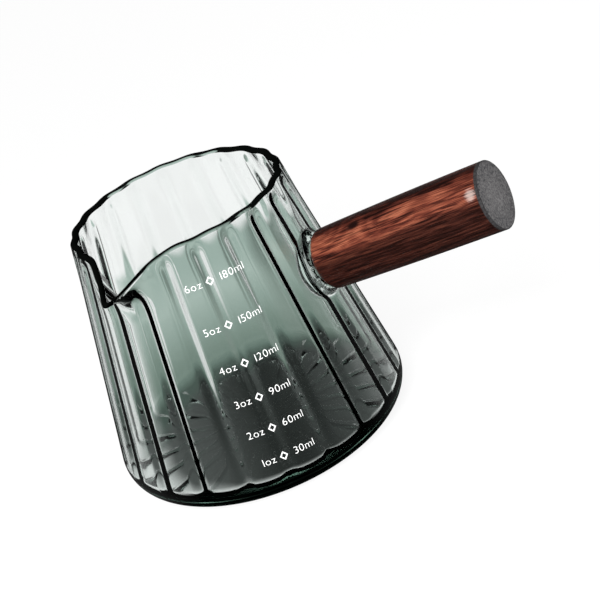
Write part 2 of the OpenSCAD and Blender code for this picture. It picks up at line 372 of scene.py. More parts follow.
class Value:
    """A shader socket whose arithmetic adds Math nodes to its material."""

    def __init__(self, finish, socket):
        self.finish = finish
        self.socket = socket

    def math(self, operation, *others):
        """A Math node of this value and others."""
        terms = dict(enumerate((self, *others)))
        return self.finish.node("ShaderNodeMath", {"operation": operation}, terms)

    def flipped(self, operation, other):
        """A Math node of another value and this one, in that order."""
        return self.finish.node("ShaderNodeMath", {"operation": operation}, {0: other, 1: self})

    def __add__(self, other):
        return self.math("ADD", other)

    def __sub__(self, other):
        return self.math("SUBTRACT", other)

    def __rsub__(self, other):
        return self.flipped("SUBTRACT", other)

    def __mul__(self, other):
        return self.math("MULTIPLY", other)

    def __truediv__(self, other):
        return self.math("DIVIDE", other)

    def __rtruediv__(self, other):
        return self.flipped("DIVIDE", other)

    def __rpow__(self, other):
        return self.flipped("POWER", other)

    __radd__ = __add__
    __rmul__ = __mul__


class Finish:
    """One material, or the world, as it is put together from nodes."""

    def __init__(self, owner):
        owner.use_nodes = True
        self.owner = owner
        self.tree = owner.node_tree
        self.tree.nodes.clear()

    def node(self, kind, settings=None, sockets=None, out=0):
        """Adds a node: its settings first, then the values or links of its sockets."""
        node = self.tree.nodes.new(kind)
        for key, value in (settings or {}).items():
            if key == "stops":
                self.set_stops(node.color_ramp, value)
            else:
                setattr(node, key, value)
        for key, value in (sockets or {}).items():
            if isinstance(value, Value):
                self.tree.links.new(value.socket, node.inputs[key])
            else:
                node.inputs[key].default_value = value
        return Value(self, node.outputs[out]) if len(node.outputs) else None

    @staticmethod
    def set_stops(ramp, stops):
        """Gives a colour ramp its places and colours."""
        while len(ramp.elements) < len(stops):
            ramp.elements.new(1.0)
        for element, (place, colour) in zip(ramp.elements, stops):
            element.position = place
            element.color = colour

    def mix(self, factor, a, b):
        """Colour a where factor is 0 and b where it is 1."""
        sockets = {"Factor": factor, 6: a, 7: b}
        return self.node("ShaderNodeMix", {"data_type": "RGBA"}, sockets, out=2)

    def vector(self, operation, a, b=None):
        """A Vector Math node: its vector, or its value where the operation gives a number."""
        number = operation in ("LENGTH", "DISTANCE", "DOT_PRODUCT")
        sockets = {0: a} if b is None else {0: a, 1: b}
        out = "Value" if number else 0
        return self.node("ShaderNodeVectorMath", {"operation": operation}, sockets, out)

    def rise(self, value, low, high):
        """0 below low, 1 above high and an S-curve between."""
        sockets = {"Value": value, "From Min": low, "From Max": high}
        return self.node("ShaderNodeMapRange", {"interpolation_type": "SMOOTHSTEP"}, sockets)

    def bump(self, height, strength, relief):
        """A normal that follows a height between 0 and 1, raised by a relief in millimetres."""
        sockets = {"Height": height, "Strength": strength, "Distance": relief * MM}
        return self.node("ShaderNodeBump", {}, sockets)

    def surface(self, shader, volume=None):
        """Ends the material in a surface, and in a volume where it has one."""
        links = {"Surface": shader}
        if volume:
            links["Volume"] = volume
        self.node("ShaderNodeOutputMaterial", {}, links)
        return self.owner


def tone(red, green, blue):
    """Linear colour of an 8-bit display colour."""
    c = np.array([red, green, blue]) / 255
    linear = np.where(c <= 0.04045, c / 12.92, ((c + 0.055) / 1.055) ** 2.4)
    return (*linear.tolist(), 1.0)


ROSEWOOD_STOPS = [
    (0.0, tone(166, 100, 74)),
    (0.25, tone(136, 74, 54)),
    (0.5, tone(98, 46, 34)),
    (0.75, tone(56, 24, 18)),
    (1.0, tone(24, 10, 8)),
]
# Colour of the painted shade on the lower side of the handle
LOWER_SHADE_TONE = tone(26, 9, 6)
PORE_TONE = tone(34, 14, 11)
KNOT_TONE = tone(30, 14, 12)
CRACK_TONE = tone(28, 12, 10)
# Colour of the painted highlight on the wood
PAINTED_HIGHLIGHT_TONE = tone(200, 182, 174)
DISC_DEEP = tone(60, 60, 63)
DISC_PALE = tone(138, 136, 136)
FLECK_TONE = tone(40, 40, 43)
# Colour of the painted shade round the disc's rim
DISC_EDGE_SHADE_TONE = tone(26, 25, 26)


def new_finish(name):
    """An empty material of that name."""
    return Finish(bpy.data.materials.new(name))


# The outer and the inner wall are cones that touch the rounds at the foot and at the floor
RIM_ROUND = RIM_WALL / 2
RIM_Z = CUP_H - RIM_ROUND
FOOT_X = BASE_R - FOOT_ROUND
WALL_A = touch_angle(FOOT_X, FOOT_ROUND, FOOT_ROUND, RIM_R, RIM_Z)
FLOOR_X = BASE_R - FOOT_WALL - FLOOR_ROUND
FLOOR_CZ = FLOOR_T + FLOOR_ROUND
INNER_RIM_R = RIM_R - RIM_WALL
INNER_A = touch_angle(FLOOR_X, FLOOR_CZ, FLOOR_ROUND, INNER_RIM_R, RIM_Z)


def wall_r(z):
    """Radius of the outer cone at a height."""
    return RIM_R + (RIM_Z - z) * np.tan(np.radians(WALL_A))


def inner_r(z):
    """Radius of the inner cone at a height."""
    return INNER_RIM_R + (RIM_Z - z) * np.tan(np.radians(INNER_A))


# The handle's own frame: its third axis runs along the handle, from the wall
AXIS = np.array([cos(HANDLE_TILT), 0, sin(HANDLE_TILT)])
WALL_POINT = np.array([wall_r(HANDLE_Z), 0, HANDLE_Z])
HANDLE_AXES = np.array([[sin(HANDLE_TILT), 0, -cos(HANDLE_TILT)], [0, 1, 0], AXIS])


def on_handle(points):
    """From the handle's own frame, measured from the boss's shoulder, to the part's frame."""
    return WALL_POINT + BOSS_LEN * AXIS + np.asarray(points) @ HANDLE_AXES


def from_rib(angle):
    """Distance from the nearest rib, as a share of half the pitch."""
    u = (angle - FLUTE_TURN) * FLUTES / 360 % 1
    return 1 - np.abs(2 * u - 1)


def rib(angle):
    """1 on a rib and 0 past its foot: two hollow parabolas that meet in a rounded crest."""
    x = np.minimum(1, from_rib(angle) / RIB_HALF)
    foot = np.hypot(1, RIB_ROUND)
    return (foot - np.hypot(x, RIB_ROUND)) ** 2 / (foot - RIB_ROUND) ** 2


def rib_flank(angle):
    """1 on the steepest part of a rib's flanks, and 0 on its crest and in the flutes: the slope of
    the rib's curve, as a share of its greatest."""
    x = np.minimum(1, from_rib(angle) / RIB_HALF)
    slope = (np.hypot(1, RIB_ROUND) - np.hypot(x, RIB_ROUND)) * x / np.hypot(x, RIB_ROUND)
    return slope / slope.max()


def scallop(angle):
    """1 on a rib and 0 in the middle of a flute, along a parabola."""
    return (1 - from_rib(angle)) ** 2


def spout_side(angle):
    """1 at the spout's tip, falling on a hollow curve to 0 where it joins the round rim."""
    off = (angle - SPOUT_ANGLE + 180) % 360 - 180
    far = np.hypot(off, SPOUT_TIP) - SPOUT_TIP
    return np.maximum(0, 1 - far / SPOUT_SPREAD) ** SPOUT_HOLLOW


def rim_share(z):
    """Share of the rim's wave: 1 at the rim, dying away down the wall."""
    return smooth((z - RIM_Z + RIM_WAVE_H) / RIM_WAVE_H)


def arc(cx, cz, r, start, end, steps):
    """Points of an arc in the outline's plane, with the directions of its normals."""
    a = np.linspace(start, end, steps)
    return cx + r * cos(a), cz + r * sin(a), cos(a), sin(a)


def glass_stations():
    """The glass outline from the base's middle, out, up, over the rim and down to the floor's middle.

    Returns radius, height, share of the rim's wave, shares of the ribs and of the scallops, the
    direction in which these stand out, 1 on the rim's bead, and the floor's share in the flanks.
    """
    rows = []

    def add(r, z, wave=0.0, ribs=0.0, hollow=0.0, nr=0.0, nz=0.0, bead=0.0, floor=0.0):
        """Adds rows to the outline, with what is the same in all of them given once."""
        parts = np.broadcast_arrays(*np.atleast_1d(r, z, wave, ribs, hollow, nr, nz, bead, floor))
        rows.append(np.stack(parts, -1))

    add(np.linspace(BASE_INNER_R, FOOT_X - BASE_MARGIN, BASE_ROWS), 0)
    x, z, _, _ = arc(FOOT_X, FOOT_ROUND, FOOT_ROUND, -90, WALL_A, FOOT_ROWS)
    add(x, z)
    z = np.concatenate([
        np.arange(z[-1] + WALL_STEP, HANDLE_Z - BOSS_ZONE, WALL_STEP),
        np.arange(HANDLE_Z - BOSS_ZONE, HANDLE_Z + BOSS_ZONE, BOSS_STEP),
        np.arange(HANDLE_Z + BOSS_ZONE, RIM_Z, RIM_STEP),
    ])
    add(wall_r(z), z, rim_share(z))
    x, z, _, _ = arc(RIM_R - RIM_ROUND, RIM_Z, RIM_ROUND, 0, 180, BEAD_ROWS)
    add(x, z, wave=1, nr=-1, bead=1)
    x, z, nr, nz = arc(FLOOR_X, FLOOR_CZ, FLOOR_ROUND, INNER_A, -90, FLOOR_ROUND_ROWS)
    wall_z = np.concatenate([
        np.linspace(RIM_Z, RIM_Z - RIB_FADE, FADE_ROWS)[1:],
        np.linspace(RIM_Z - RIB_FADE, RIM_Z - SPOUT_H, SPOUT_ROWS)[1:],
        np.linspace(RIM_Z - SPOUT_H, z[0], INNER_ROWS)[1:-1],
    ])
    fade = smooth((RIM_Z - wall_z) / RIB_FADE)
    add(inner_r(wall_z), wall_z, rim_share(wall_z), fade, fade * WALL_SCALLOP, -cos(INNER_A), -sin(INNER_A))
    turn = smooth(np.linspace(0, 1, FLOOR_ROUND_ROWS))
    low_ribs = 1 - (1 - FLOOR_RIBS) * turn
    low_scallops = WALL_SCALLOP + (1 - WALL_SCALLOP) * turn
    add(x, z, 0, low_ribs, low_scallops, -nr, -nz, floor=turn)
    t = np.linspace(1, FLOOR_MIDDLE, FLOOR_ROWS)[1:]
    add(FLOOR_X * t, FLOOR_T, 0, FLOOR_RIBS * t**2, t**2, nz=1, floor=FLOOR_FLANK)
    return np.concatenate(rows)


def glass_angles():
    """Angles of the columns: closer on the ribs, at the boss and at the spout."""
    pitch = 360 / FLUTES
    on_rib = np.linspace(-RIB_HALF, RIB_HALF, RIB_COLUMNS) / 2
    in_flute = np.linspace(RIB_HALF, 2 - RIB_HALF, FLUTE_COLUMNS)[1:-1] / 2
    share = np.concatenate([on_rib, in_flute])
    even = (FLUTE_TURN + (np.arange(FLUTES)[:, None] + share) * pitch).ravel()
    boss = np.arange(-BOSS_SIDE, BOSS_SIDE, CLOSE_STEP)
    tip = SPOUT_ANGLE + np.arange(-TIP_SIDE, TIP_SIDE + CLOSE_STEP / 2, CLOSE_STEP)
    angles = np.sort(np.concatenate([even, boss, tip]) % 360)
    return angles[np.diff(angles, prepend=angles[-1] - 360) > COLUMN_GAP]


def raise_boss(points):
    """Pushes the wall out along the handle's axis: to a flat shoulder with a rounded edge near the
    axis, and around it by a share that falls along a hollow power curve to nothing."""
    off = points - WALL_POINT
    along = off @ AXIS
    d = np.linalg.norm(off - along[..., None] * AXIS, axis=-1)
    near = along > -BOSS_FLARE
    edge = np.clip((d - BOSS_R + BOSS_EDGE) / BOSS_EDGE, 0, 1)
    shoulder = BOSS_LEN - BOSS_EDGE * (1 - np.sqrt(1 - edge**2))
    inside = np.clip((BOSS_R + BOSS_FLARE - d) / BOSS_FLARE, 0, 1)
    share = inside**BOSS_HOLLOW
    lip = BOSS_LEN - BOSS_EDGE
    raised = np.where(d < BOSS_R, shoulder, along + share * (lip - along))
    return points + np.where(near, raised - along, 0)[..., None] * AXIS


def glass_cup(material):
    """Each point is the outline turned to a column's angle: ridges stand out along the outline's
    normal, the wave and the spout's pull move it outwards, and the spout's drop moves it down."""
    stations = glass_stations()
    r, z, wave, ribs, hollow, nr, nz, bead, floor = stations.T[:, :, None]
    angle = glass_angles()[None, :]
    stand = ribs * RIB_H * rib(angle) + hollow * SCALLOP * scallop(angle)
    ripple = wave * cos((angle - FLUTE_TURN) * FLUTES) * RIM_WAVE / 2
    near_rim = np.clip(1 - (RIM_Z - z) / SPOUT_H, 0, 1) ** 2
    radius = r + nr * stand + ripple + near_rim * spout_side(angle) * SPOUT_REACH
    height = z + nz * stand - near_rim * spout_side(angle) ** SPOUT_DIP * SPOUT_DROP
    points = np.stack([radius * cos(angle), radius * sin(angle), height], -1)
    outer = int(np.argmax(stations[:, 1]))
    points[:outer] = raise_boss(points[:outer])
    rows, columns = radius.shape
    poles = np.array([[0, 0, 0], [0, 0, FLOOR_T]])
    count = rows * columns
    faces = [
        *grid_quads(rows, columns).tolist(),
        *pole_fan(count, 0, columns, True).tolist(),
        *pole_fan(count + 1, count - columns, columns, False).tolist(),
    ]
    cloud = np.concatenate([points.reshape(-1, 3), poles])
    middles = np.zeros(len(poles))
    shares = {
        "bead": np.append(np.broadcast_to(bead, radius.shape), middles),
        "flank": np.append(np.maximum(ribs * rib_flank(angle), floor), middles),
    }
    piece = add_piece("cup_glass", cloud, faces, material, "cup", shares)
    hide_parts("glass_body")
    return piece


def lathe(profile):
    """A closed outline of radius and height turned about the handle's axis."""
    a = np.arange(LATHE_SIDES) * 360 / LATHE_SIDES
    r, z = np.array(profile).T[:, :, None]
    points = np.stack([r * cos(a), r * sin(a), z + 0 * a], -1)
    return on_handle(points), grid_quads(len(profile), LATHE_SIDES, wrap_rows=True)


def threaded_stub(material):
    """A rod whose radius waves with the angle less one turn a pitch, tapered at its tip."""
    a = np.arange(STUB_SIDES)[None, :] * 360 / STUB_SIDES
    z = np.linspace(STUB_START, STUB_LEN, STUB_RINGS)[:, None]
    thread = THREAD_WAVE * cos(360 * z / THREAD_PITCH - a) * smooth(z / WASHER_T)
    tip = 2 * THREAD_WAVE * np.maximum(0, (z - STUB_LEN + STUB_TIP) / STUB_TIP) ** 2
    r = THREAD_R + thread - tip
    points = np.stack([r * cos(a), r * sin(a), z + 0 * a], -1).reshape(-1, 3)
    poles = [[0, 0, STUB_START], [0, 0, STUB_LEN]]
    count = STUB_SIDES * STUB_RINGS
    faces = [
        *grid_quads(STUB_RINGS, STUB_SIDES).tolist(),
        *pole_fan(count, 0, STUB_SIDES, True).tolist(),
        *pole_fan(count + 1, count - STUB_SIDES, STUB_SIDES, False).tolist(),
    ]
    cloud = on_handle(np.concatenate([points, poles]))
    piece = add_piece("threaded_glass_stub", cloud, faces, material, "cup")
    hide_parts("handle_boss")
    return piece


def turned_handle(material):
    """A swelling taper with a rounded mouth, turned with the blind bore that takes the bush."""
    low, high = HANDLE_GAP, HANDLE_GAP + HANDLE_LEN
    x, z, _, _ = arc(HANDLE_R - HANDLE_ROUND, low + HANDLE_ROUND, HANDLE_ROUND, -90, 0, MOUTH_ROWS)
    t = np.linspace(0, 1, SIDE_ROWS)[1:]
    side_r = HANDLE_R + (HANDLE_END_R - HANDLE_R) * t + HANDLE_SWELL * 4 * t * (1 - t)
    side_z = low + HANDLE_ROUND + (high - low - HANDLE_ROUND) * t
    socket_r, socket_end = PEG_R + PEG_PLAY, high - PEG_LEN
    bush_end, stub_end = WASHER_T + BUSH_LEN, STUB_LEN + STUB_SPARE
    profile = np.concatenate([
        np.stack([x, z], -1),
        np.stack([side_r, side_z], -1),
        [[socket_r, high], [socket_r, socket_end], [CORE_R, socket_end]],
        [[CORE_R, stub_end], [STUB_BORE_R, stub_end], [STUB_BORE_R, bush_end]],
        [[BUSH_BORE_R, bush_end], [BUSH_BORE_R, low]],
    ])
    points, faces = lathe(profile)
    piece = add_piece("turned_handle", points, faces.tolist(), material, "handle")
    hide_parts("wooden_handle")
    return piece


def end_disc(material):
    """A flat disc with a rounded edge, turned in one with the peg that holds it in the wood."""
    high = HANDLE_GAP + HANDLE_LEN
    x, z, _, _ = arc(HANDLE_END_R - CAP_ROUND, high + CAP_T - CAP_ROUND, CAP_ROUND, 0, 90, CAP_ROWS)
    profile = np.concatenate([
        [[AXIS_R, high - PEG_LEN], [PEG_R, high - PEG_LEN], [PEG_R, high], [HANDLE_END_R, high]],
        np.stack([x, z], -1),
        [[AXIS_R, high + CAP_T]],
    ])
    points, faces = lathe(profile)
    piece = add_piece("speckled_end_disc", points, faces.tolist(), material, "handle")
    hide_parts("end_cap")
    return piece


def letter_mesh(letter):
    """Points and faces of one letter, lying flat, with its left side and its middle height at 0."""
    curve = bpy.data.curves.new("letter", "FONT")
    curve.body = letter
    curve.size = WORD_SIZE
    curve.offset = -WORD_THIN
    holder = bpy.data.objects.new("letter", curve)
    mesh = holder.to_mesh()
    points = np.empty(len(mesh.vertices) * 3)
    mesh.vertices.foreach_get("co", points)
    faces = [list(face.vertices) for face in mesh.polygons]
    points = points.reshape(-1, 3)[:, :2]
    points = (points - [points[:, 0].min(), WORD_SIZE * WORD_MIDDLE]) * [LETTER_STRETCH, 1]
    holder.to_mesh_clear()
    bpy.data.objects.remove(holder)
    bpy.data.curves.remove(curve)
    return points, faces


def word_mesh(word, align):
    """The letters of a word set side by side with an even gap, its right or left end at 0."""
    cloud, faces, count, pen = [], [], 0, 0.0
    for letter in word:
        points, outline = letter_mesh(letter)
        cloud.append(points + [pen, 0])
        faces += [[corner + count for corner in face] for face in outline]
        count += len(points)
        pen += points[:, 0].max() + LETTER_GAP
    end = pen - LETTER_GAP if align == "right" else 0.0
    return np.concatenate(cloud) - [end, 0], faces


def scale_words(material):
    """The words beside the marks: flat outlines wrapped on the cone of the wall, where the way along a
    word becomes an angle and the way up it a height along the slope."""
    cloud, faces, count = [], [], 0
    for k in range(1, MARKS + 1):
        low, high = (np.array(c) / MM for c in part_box(f"scale_mark_{k}"))
        middle = (low + high) / 2
        words = ((f"{k}oz", "right", OUNCE_END), (f"{MARK_ML * k}ml", "left", ML_START))
        for word, align, start in words:
            flat, outline = word_mesh(word, align)
            z = middle[2] + flat[:, 1] * cos(WALL_A)
            r = wall_r(z) + PRINT_LIFT
            angle = MARK_TURN + np.degrees((flat[:, 0] + start) / r)
            cloud.append(np.stack([r * cos(angle), r * sin(angle), z], -1))
            faces += [[corner + count for corner in face] for face in outline]
            count += len(flat)
    return add_piece("scale_words", np.concatenate(cloud), faces, material, "cup")


def handle_place(finish):
    """The place in the handle's own frame, in millimetres: two ways across it and one along it."""
    place = finish.node("ShaderNodeTexCoord", out="Object")
    off = finish.vector("SUBTRACT", place, tuple(on_handle([0, 0, 0]) * MM))
    return [finish.vector("DOT_PRODUCT", off, tuple(axis)) / MM for axis in HANDLE_AXES]


def noise(finish, x, y, z, detail=2.0):
    """Noise about a half, over a place whose three parts are scaled already."""
    place = finish.node("ShaderNodeCombineXYZ", {}, {0: x, 1: y, 2: z})
    return finish.node("ShaderNodeTexNoise", {}, {"Vector": place, "Scale": 1.0, "Detail": detail})


def distance(finish, x, y, z):
    """Length of a way whose three parts are given."""
    return finish.vector("LENGTH", finish.node("ShaderNodeCombineXYZ", {}, {0: x, 1: y, 2: z}))


def wood_noise(finish, place, grain, detail=2.0):
    """Noise in the handle, drawn out along it: grain says how fine it is across and along."""
    u, v, t = place
    across, along = grain
    return noise(finish, u * across, v * across, t * along, detail)


def rosewood_finish():
    """Growth layers round a pith beside the handle, bent by a slow drift and round a knot, with
    broad dark streaks, fine fibres, open pores and a short drying crack at the mouth. Painted shade
    darkens its lower side and its top edge, and a painted highlight lies near its end."""
    finish = new_finish("rosewood")
    place = u, v, t = handle_place(finish)
    drift = wood_noise(finish, place, DRIFT_GRAIN) - 0.5
    ripple = wood_noise(finish, place, RIPPLE_GRAIN) - 0.5
    from_knot = distance(finish, u - KNOT[0], v - KNOT[1], (t - KNOT[2]) * KNOT_STRETCH)
    swirl = (from_knot * from_knot / -KNOT_REACH**2).math("EXPONENT")
    ring = distance(finish, u - PITH[0], v - PITH[1], 0) + drift * RING_DRIFT + ripple * RING_RIPPLE
    ring = ring + swirl * RING_SWIRL + t * RING_LEAN
    layer = (ring * (2 * np.pi / RING_PITCH)).math("SINE") * 0.5 + 0.5
    broad = noise(finish, ring * BROAD_GRAIN[0], BROAD_PLACE, t * BROAD_GRAIN[1], detail=3)
    fibre = wood_noise(finish, place, FIBRE_GRAIN, detail=4)
    streak = finish.rise(wood_noise(finish, place, STREAK_GRAIN), *STREAK_RISE)
    pore = finish.rise(wood_noise(finish, place, PORE_GRAIN), *PORE_RISE)
    # Painted shade: the wood's colour is darker on the lower side and along the top edge
    side = u * SHADED_SIDE[0] + v * SHADED_SIDE[1]
    shaded = finish.rise(side, *SHADED_RISE)
    lower_shade = finish.rise(side + drift, *LOWER_SHADE_RISE)
    top_shade = finish.rise(side * -1, *TOP_SHADE_RISE)
    depth = layer * LAYER_DEPTH + broad * BROAD_DEPTH + fibre * FIBRE_DEPTH
    depth = depth + streak * STREAK_DEPTH + shaded * SHADED_DEPTH + top_shade * TOP_SHADE_DEPTH
    depth = (depth - DEPTH_START) / DEPTH_SPAN
    colour = finish.node("ShaderNodeValToRGB", {"stops": ROSEWOOD_STOPS}, {0: depth})
    colour = finish.mix(lower_shade * LOWER_SHADE_SHARE, colour, LOWER_SHADE_TONE)
    colour = finish.mix(pore * PORE_SHARE, colour, PORE_TONE)
    colour = finish.mix(1 - finish.rise(from_knot, *KNOT_CORE), colour, KNOT_TONE)
    across = u * -sin(CRACK_ANGLE) + v * cos(CRACK_ANGLE) + fibre * CRACK_WANDER - CRACK_WANDER / 2
    crack = 1 - finish.rise(across.math("ABSOLUTE"), *CRACK_WIDTH)
    crack = crack * (1 - finish.rise(t, *CRACK_END))
    crack = crack * finish.rise(u * cos(CRACK_ANGLE) + v * sin(CRACK_ANGLE), 0, 1)
    colour = finish.mix(crack, colour, CRACK_TONE)
    # Painted highlight: a pale patch in the wood's colour near the end of the handle
    from_highlight = distance(finish, u - PAINTED_HIGHLIGHT[0], v - PAINTED_HIGHLIGHT[1], t - PAINTED_HIGHLIGHT[2]) + (fibre - 0.5) * PAINTED_HIGHLIGHT_FRAY
    painted_highlight = 1 - finish.rise(from_highlight, *PAINTED_HIGHLIGHT_R)
    colour = finish.mix(painted_highlight * PAINTED_HIGHLIGHT_SHARE, colour, PAINTED_HIGHLIGHT_TONE)
    relief = fibre * FIBRE_RELIEF + layer * LAYER_RELIEF - pore * PORE_RELIEF - crack
    bump = finish.bump(relief, WOOD_BUMP, WOOD_RELIEF)
    shader = finish.node("ShaderNodeBsdfPrincipled", {}, {
        "Base Color": colour,
        "Roughness": fibre * FIBRE_ROUGH + WOOD_ROUGH,
        "Normal": bump,
        "Coat Weight": 0.05,
        "Coat Roughness": 0.25,
        "Specular IOR Level": 0.25,
    })
    return finish.surface(shader)


def speckled_disc_finish():
    """Grey with fine dark and pale specks, a little paler towards the middle of the disc, with painted
    shade round its rim.
    """
    finish = new_finish("dark_disc")
    u, v, t = handle_place(finish)
    speck = noise(finish, u * SPECK_GRAIN, v * SPECK_GRAIN, t * SPECK_GRAIN, detail=4)
    fleck = noise(finish, u * FLECK_GRAIN, v * FLECK_GRAIN, t * FLECK_GRAIN, detail=1)
    from_axis = distance(finish, u, v, 0)
    middle = 1 - finish.rise(from_axis, DISC_MIDDLE_R, HANDLE_END_R)
    shade = (speck - 0.5) * SPECK_CONTRAST + SPECK_LEVEL + middle * DISC_MIDDLE
    shade = shade.math("MINIMUM", 1).math("MAXIMUM", 0)
    colour = finish.mix(shade, DISC_DEEP, DISC_PALE)
    colour = finish.mix(finish.rise(fleck, *FLECK_RISE) * FLECK_SHARE, colour, FLECK_TONE)
    # Painted shade: the disc's colour darkens towards its rim
    edge = finish.rise(from_axis, HANDLE_END_R - DISC_EDGE_SHADE[0], HANDLE_END_R - DISC_EDGE_SHADE[1])
    colour = finish.mix(edge * DISC_EDGE_SHADE_SHARE, colour, DISC_EDGE_SHADE_TONE)
    shader = finish.node("ShaderNodeBsdfPrincipled", {}, {
        "Base Color": colour,
        "Roughness": speck * SPECK_ROUGH + DISC_ROUGH,
        "Normal": finish.bump(speck, DISC_BUMP, DISC_RELIEF),
    })
    return finish.surface(shader)


def moulded_finish(name, pale, deep, grain, roughness):
    """A clouded colour with a fine grain, for the moulded nylon, the silicone and the fired print."""
    finish = new_finish(name)
    place = finish.node("ShaderNodeTexCoord", out="Object")
    x, y, z = (finish.node("ShaderNodeSeparateXYZ", {}, {0: place}, out=k) / MM for k in range(3))
    cloud = noise(finish, x * grain, y * grain, z * grain, detail=3)
    fine_grain = grain * FINE_GRAIN
    fine = noise(finish, x * fine_grain, y * fine_grain, z * fine_grain, detail=1)
    shader = finish.node("ShaderNodeBsdfPrincipled", {}, {
        "Base Color": finish.mix(finish.rise(cloud, *CLOUD_RISE), deep, pale),
        "Roughness": fine * FINE_ROUGH + roughness,
        "Normal": finish.bump(fine, FINE_BUMP, FINE_RELIEF),
    })
    return finish.surface(shader)


def smoked_glass_finish():
    """Clear glass with a smoky volume. Painted shade makes it black where it is seen edge on, sooner on
    the rim's bead, and on the flanks of the ribs and round the floor where the Fresnel node says that
    light is turned back inside it."""
    finish = new_finish("smoked_glass")
    clear = finish.node("ShaderNodeBsdfPrincipled", {}, {
        "Base Color": WHITE,
        "Roughness": 0.0,
        "IOR": GLASS_IOR,
        "Transmission Weight": 1.0,
    })
    # Painted shade: a black diffuse shader mixed into the glass at its edges, its bead and its rib flanks
    edge = finish.node("ShaderNodeBsdfDiffuse", {}, {"Color": PAINTED_EDGE_TONE})
    facing = finish.node("ShaderNodeLayerWeight", out="Facing")
    mirror = finish.node("ShaderNodeFresnel", {}, {"IOR": GLASS_IOR})
    bead = finish.node("ShaderNodeAttribute", {"attribute_name": "bead"}, out="Fac")
    flank = finish.node("ShaderNodeAttribute", {"attribute_name": "flank"}, out="Fac")
    dark = finish.rise(facing + bead * BEAD_EDGE, *EDGE_FACING)
    dark = dark.math("MAXIMUM", finish.rise(flank * mirror, *FLANK_MIRROR))
    shader = finish.node("ShaderNodeMixShader", {}, {0: dark, 1: clear, 2: edge})
    smoke = {"Color": SMOKE_TONE, "Density": SMOKE_DENSITY}
    return finish.surface(shader, finish.node("ShaderNodeVolumeAbsorption", {}, smoke))


def photo_camera():
    """The photograph's camera: it looks down by its pitch, and is turned about its own axis."""
    right, down, ahead = np.array([
        [1, 0, 0],
        [0, -sin(CAMERA_PITCH), -cos(CAMERA_PITCH)],
        [0, cos(CAMERA_PITCH), -sin(CAMERA_PITCH)],
    ])
    turn = np.array([
        [cos(CAMERA_ROLL), -sin(CAMERA_ROLL), 0],
        [sin(CAMERA_ROLL), cos(CAMERA_ROLL), 0],
        [0, 0, 1],
    ])
    rows = turn @ np.array([right, down, ahead])
    yaw = np.array([
        [cos(CAMERA_YAW), -sin(CAMERA_YAW), 0],
        [sin(CAMERA_YAW), cos(CAMERA_YAW), 0],
        [0, 0, 1],
    ])
    rows = rows @ yaw.T
    centre = FRAME_PX / 2
    base = BASE_DEPTH * np.array([
        (BASE_PX[0] - centre) / FOCAL_PX, (BASE_PX[1] - centre) / FOCAL_PX, 1,
    ])
    place = -rows.T @ base * MM
    data = bpy.data.cameras.new("photo_camera")
    data.sensor_width = SENSOR_MM
    data.lens = data.sensor_width * FOCAL_PX / FRAME_PX
    data.clip_start = CLIP_START
    camera = bpy.data.objects.new("photo_camera", data)
    axes = np.eye(4)
    axes[:3, :3] = np.stack([rows[0], -rows[1], -rows[2]], -1)
    axes[:3, 3] = place
    camera.matrix_world = Matrix(axes.tolist())
    bpy.context.scene.collection.objects.link(camera)
    bpy.context.scene.camera = camera
    return camera


def ray(finish, fact):
    """One fact of the ray that is asking, from the Light Path node."""
    return finish.node("ShaderNodeLightPath", out=fact)


def in_glass(finish):
    """1 for a ray that comes through glass or off it, and 0 for the others."""
    return ray(finish, "Is Glossy Ray").math("MAXIMUM", ray(finish, "Is Transmission Ray"))


def reflected_dim(finish):
    """A factor that falls with each reflection on the way, outside or inside the glass."""
    return REFLECTED ** ray(finish, "Glossy Depth")


def far_side(finish):
    """1 for a ray that has gone into a second wall, and 0 for one that has crossed one wall at most."""
    return finish.rise(ray(finish, "Transmission Depth"), *FAR_DEPTH)


def studio_world():
    """White to the camera, and a soft grey light to what isn't glass. The glass shows a white backdrop
    with a dim room above it, which is dark to light turned back from the front and dim past a second
    wall. This isn't the plain background that the camera sees: it is set for the photograph's view."""
    world = bpy.data.worlds.new("studio")
    bpy.context.scene.world = world
    sky = Finish(world)
    toward = sky.node("ShaderNodeTexCoord", out="Generated")
    rise = sky.node("ShaderNodeSeparateXYZ", {}, {0: toward}, out="Z")
    backdrop = sky.node("ShaderNodeValToRGB", {"stops": BACKDROP_STOPS}, {0: rise})
    ahead = sky.vector("DOT_PRODUCT", toward, (cos(VIEW_ANGLE), sin(VIEW_ANGLE), 0))
    turned = ray(sky, "Glossy Depth").math("MINIMUM", 1)
    front = turned * (1 - sky.rise(ahead, *FRONT_SKY))
    backdrop = sky.mix(front, backdrop, FRONT_TONE)
    backdrop = sky.mix(far_side(sky), backdrop, FAR_TONE)
    colour = sky.mix(in_glass(sky), (AMBIENT, AMBIENT, AMBIENT, 1), backdrop)
    colour = sky.mix(ray(sky, "Is Camera Ray"), colour, WHITE)
    colour = sky.mix(reflected_dim(sky), BLACK, colour)
    light = sky.node("ShaderNodeBackground", {}, {"Color": colour})
    sky.node("ShaderNodeOutputWorld", {}, {"Surface": light})


